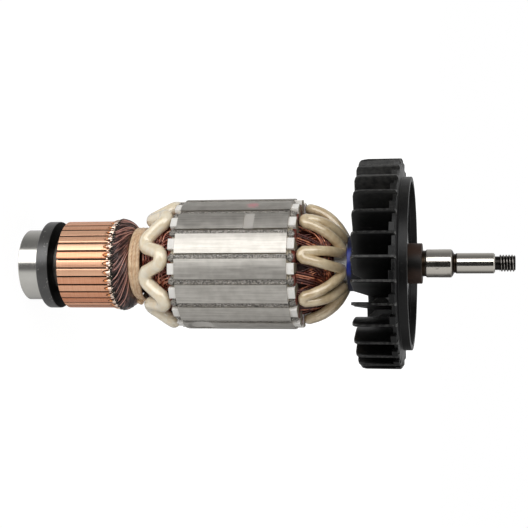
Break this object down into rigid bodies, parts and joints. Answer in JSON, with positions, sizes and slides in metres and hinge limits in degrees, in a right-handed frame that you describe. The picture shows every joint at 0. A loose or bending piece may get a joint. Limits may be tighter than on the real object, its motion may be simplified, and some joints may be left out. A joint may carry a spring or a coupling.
{
  "type": "motor armature",
  "caption": "Wound armature of a universal motor: ball bearing, copper commutator, slotted stack, bladed radial fan, and a stepped shaft with a threaded tip.",
  "frame": {"origin": "middle of the outer face of the commutator-side bearing, on which the part stands", "axes": "+Z along the shaft, from the commutator-side bearing to the threaded tip; -Y is the side that shows the straight balancing cut"},
  "size_m": [0.0749, 0.0749, 0.179],
  "materials": {
    "ground_steel": "ground, bright",
    "bearing_steel": "ground, bright",
    "cage_steel": "pressed sheet",
    "seal_rubber": "matt moulded rubber",
    "black_ring": "matt, fine specks",
    "bush_steel": "turned",
    "phenolic": "moulded resin",
    "mica": "undercut mica",
    "commutator_copper": "turned copper, bright tinned hooks",
    "enamelled_wire": "dark red enamelled copper wire",
    "binding_cord": "resin-stiffened cord",
    "white_insulation": "white tube",
    "blue_insulation": "bright blue ring",
    "stack_steel": "ground laminations",
    "white_fibre": "white fibre board",
    "slot_paper": "varnished paper",
    "slot_resin": "gritty grey resin",
    "ivory_sleeving": "glossy varnished sleeving",
    "black_plastic": "satin moulded plastic",
    "brown_steel": "brown oxidised steel"
  },
  "bodies": {
    "armature": {"shaft": "ground_steel", "bearing_inner_ring": "bearing_steel", "dust_ring": "black_ring", "commutator_bush": "bush_steel", "commutator_moulding": "phenolic", "mica_segments": "mica", "commutator_bar_01": "commutator_copper", "commutator_bar_02": "commutator_copper", "commutator_bar_03": "commutator_copper", "commutator_bar_04": "commutator_copper", "commutator_bar_05": "commutator_copper", "commutator_bar_06": "commutator_copper", "commutator_bar_07": "commutator_copper", "commutator_bar_08": "commutator_copper", "commutator_bar_09": "commutator_copper", "commutator_bar_10": "commutator_copper", "commutator_bar_11": "commutator_copper", "commutator_bar_12": "commutator_copper", "commutator_bar_13": "commutator_copper", "commutator_bar_14": "commutator_copper", "commutator_bar_15": "commutator_copper", "commutator_bar_16": "commutator_copper", "commutator_bar_17": "commutator_copper", "commutator_bar_18": "commutator_copper", "commutator_bar_19": "commutator_copper", "commutator_bar_20": "commutator_copper", "commutator_bar_21": "commutator_copper", "commutator_bar_22": "commutator_copper", "commutator_bar_23": "commutator_copper", "commutator_bar_24": "commutator_copper", "commutator_bar_25": "commutator_copper", "commutator_bar_26": "commutator_copper", "commutator_bar_27": "commutator_copper", "commutator_bar_28": "commutator_copper", "commutator_bar_29": "commutator_copper", "commutator_bar_30": "commutator_copper", "commutator_bar_31": "commutator_copper", "commutator_bar_32": "commutator_copper", "lead_wires": "enamelled_wire", "binding_cord": "binding_cord", "shaft_insulation": "white_insulation", "blue_ring": "blue_insulation", "core_stack": "stack_steel", "rear_end_plate": "white_fibre", "front_end_plate": "white_fibre", "slot_liners": "slot_paper", "slot_conductors": "enamelled_wire", "slot_wedges": "slot_resin", "rear_winding": "enamelled_wire", "front_winding": "enamelled_wire", "rear_sleeving": "ivory_sleeving", "front_sleeving": "ivory_sleeving", "fan": "black_plastic", "front_collar": "brown_steel"},
    "bearing_outer": {"bearing_outer_ring": "bearing_steel", "bearing_outer_seal": "seal_rubber", "bearing_inner_seal": "seal_rubber"},
    "ball_set": {"bearing_balls": "bearing_steel", "bearing_cage": "cage_steel"}
  },
  "joints": [
    {"name": "bearing_spin", "type": "hinge", "parent": "armature", "child": "bearing_outer", "pos_m": [0, 0, 0.004], "axis": [0, 0, 1], "continuous": true},
    {"name": "ball_orbit", "type": "hinge", "parent": "armature", "child": "ball_set", "pos_m": [0, 0, 0.004], "axis": [0, 0, 1], "continuous": true}
  ],
  "couplings": [
    {"joint": "ball_orbit", "follows": "bearing_spin", "ratio": 0.636}
  ]
}
